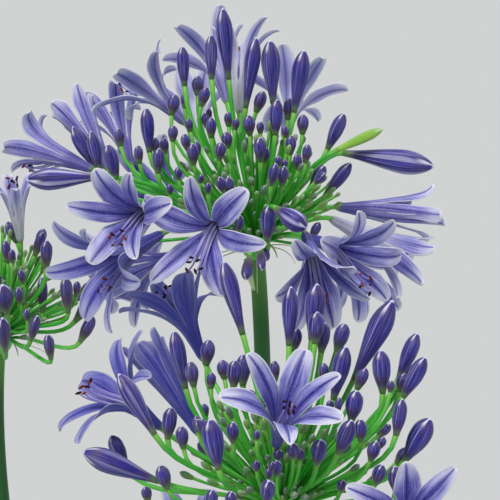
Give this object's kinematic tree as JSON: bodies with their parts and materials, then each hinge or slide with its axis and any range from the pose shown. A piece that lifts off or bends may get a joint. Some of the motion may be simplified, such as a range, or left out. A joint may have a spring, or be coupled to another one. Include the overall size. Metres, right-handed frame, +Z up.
{
  "type": "agapanthus plant",
  "caption": "Potted agapanthus: fans of strap leaves and tall bare scapes, each topped by a round umbel of lavender-blue funnel flowers and buds on thin green pedicels.",
  "frame": {"origin": "middle of the pot's underside, on the surface it stands on", "axes": "+Z up along the scapes, +Y away from the side that is seen first, +X to that side's right"},
  "size_m": [0.708, 0.7044, 0.9587],
  "materials": {
    "clay": "matte",
    "soil": "matte",
    "leaf": "satin",
    "stalk": "satin",
    "petal": "satin"
  },
  "bodies": {
    "root": {"pot": "clay", "soil": "soil", "leaf_fan_right": "leaf", "leaf_fan_front": "leaf", "leaf_fan_back": "leaf", "leaf_fan_left": "leaf", "upper_umbel": "stalk", "upper_flower_01": "petal", "upper_flower_02": "petal", "upper_flower_03": "petal", "upper_flower_04": "petal", "upper_flower_05": "petal", "upper_flower_06": "petal", "upper_flower_07": "petal", "upper_flower_08": "petal", "upper_flower_09": "petal", "upper_flower_10": "petal", "upper_flower_11": "petal", "upper_flower_12": "petal", "upper_flower_13": "petal", "upper_flower_14": "petal", "upper_flower_15": "petal", "upper_flower_16": "petal", "upper_flower_17": "petal", "upper_flower_18": "petal", "lower_umbel": "stalk", "lower_flower_01": "petal", "lower_flower_02": "petal", "lower_flower_03": "petal", "lower_flower_04": "petal", "lower_flower_05": "petal", "lower_flower_06": "petal", "lower_flower_07": "petal", "lower_flower_08": "petal", "lower_flower_09": "petal", "left_umbel": "stalk", "left_flower_01": "petal", "left_flower_02": "petal", "left_flower_03": "petal", "left_flower_04": "petal", "left_flower_05": "petal"}
  },
  "joints": []
}
